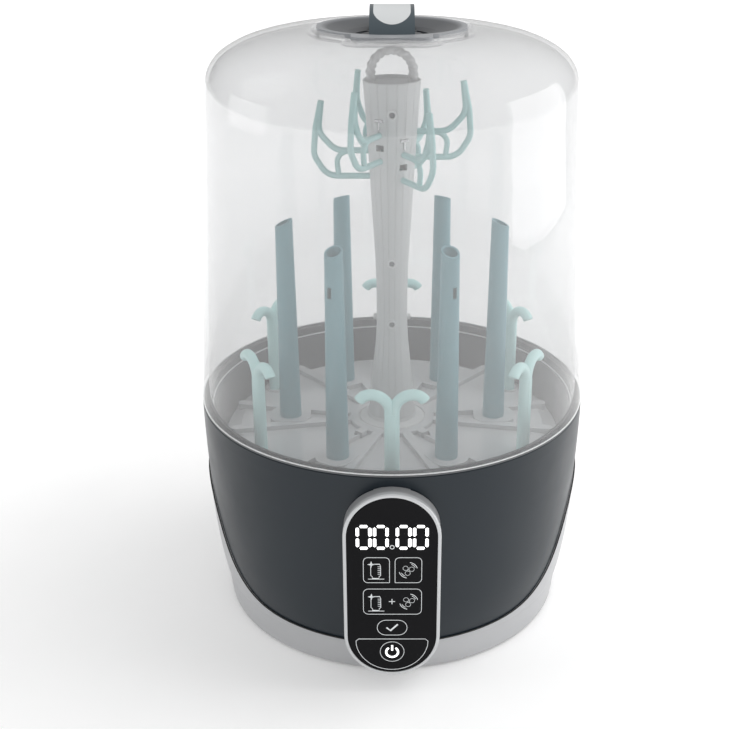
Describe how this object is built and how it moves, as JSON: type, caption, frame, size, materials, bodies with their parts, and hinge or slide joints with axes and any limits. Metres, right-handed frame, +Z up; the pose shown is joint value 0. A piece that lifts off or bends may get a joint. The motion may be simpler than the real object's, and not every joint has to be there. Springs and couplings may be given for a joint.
{
  "type": "bottle sterilizer",
  "caption": "Drum-shaped baby bottle steam sterilizer and dryer with a clear lift-off dome, a lift-out rack of pegs, hooks and arms on a central mast, and an upright touch panel.",
  "frame": {"origin": "on the table under the drum's axis, at the middle of the bounding box's underside", "axes": "+Z up, the control panel faces -Y, +X is to the right seen from the front"},
  "size_m": [0.278, 0.3, 0.434],
  "materials": {
    "shell_plastic": "satin anthracite moulding",
    "silver_plastic": "silver lacquer",
    "dark_plastic": "fine texture",
    "tub_plastic": "satin",
    "grey_plastic": "satin",
    "peg_plastic": "satin",
    "mint_plastic": "satin",
    "clear_plastic": "clear polished",
    "dish_plastic": "satin",
    "handle_plastic": "satin",
    "inlay_plastic": "satin",
    "black_glass": "polished black",
    "rubber": "matte",
    "silicone": "translucent white",
    "stainless": "brushed",
    "steel": "plain",
    "cast_aluminium": "cast",
    "circuit_board": "lacquered board",
    "filter_fleece": "pleated fleece"
  },
  "bodies": {
    "base": {"base_shell": "shell_plastic", "silver_cradle": "silver_plastic", "plinth_ring": "silver_plastic", "bottom_plate": "dark_plastic", "rubber_feet": "rubber", "bottom_screws": "steel", "cord_gland": "rubber", "inner_tub": "tub_plastic", "plate_seal": "silicone", "heating_plate": "stainless", "heater_block": "cast_aluminium", "heater_coil": "steel", "thermal_cutouts": "steel", "blower_housing": "dark_plastic", "fan_motor": "steel", "motor_screws": "steel", "air_heater": "cast_aluminium", "outlet_grille": "tub_plastic", "rear_housing": "dark_plastic", "power_board": "circuit_board", "board_parts": "dark_plastic", "panel_pod": "silver_plastic", "panel_bezel": "silver_plastic", "panel_glass": "black_glass", "display_board": "circuit_board", "led_display": "dark_plastic", "touch_springs": "steel"},
    "fan": {"fan_impeller": "dark_plastic"},
    "filter_drawer": {"filter_cover": "dark_plastic", "filter_cartridge": "filter_fleece"},
    "rack": {"tray": "grey_plastic", "mast_foot": "grey_plastic", "mast_front": "grey_plastic", "mast_rear": "grey_plastic", "mast_screws": "steel", "mast_cap": "grey_plastic", "carry_loop": "grey_plastic", "bottle_peg_1": "peg_plastic", "bottle_peg_2": "peg_plastic", "bottle_peg_3": "peg_plastic", "bottle_peg_4": "peg_plastic", "bottle_peg_5": "peg_plastic", "bottle_peg_6": "peg_plastic", "teat_hook_1": "mint_plastic", "teat_hook_2": "mint_plastic", "teat_hook_3": "mint_plastic", "teat_hook_4": "mint_plastic", "teat_hook_5": "mint_plastic", "teat_hook_6": "mint_plastic", "accessory_arm_1": "mint_plastic", "accessory_arm_2": "mint_plastic", "accessory_arm_3": "mint_plastic", "accessory_arm_4": "mint_plastic", "accessory_arm_5": "mint_plastic", "accessory_arm_6": "mint_plastic"},
    "cover": {"dome_cover": "clear_plastic", "foot_seal": "silicone", "vent_dish": "dish_plastic", "lid_handle": "handle_plastic", "handle_inlay": "inlay_plastic"}
  },
  "joints": [
    {"name": "fan_spin", "type": "hinge", "parent": "base", "child": "fan", "pos_m": [0, 0.085, 0.05], "axis": [0, 1, 0], "continuous": true},
    {"name": "filter_pull", "type": "slide", "parent": "base", "child": "filter_drawer", "axis": [0, 1, 0], "range_m": [0, 0.06]},
    {"name": "rack_lift", "type": "slide", "parent": "base", "child": "rack", "axis": [0, 0, 1], "range_m": [0, 0.12]},
    {"name": "cover_lift", "type": "slide", "parent": "rack", "child": "cover", "axis": [0, 0, 1], "range_m": [0, 0.3]}
  ]
}
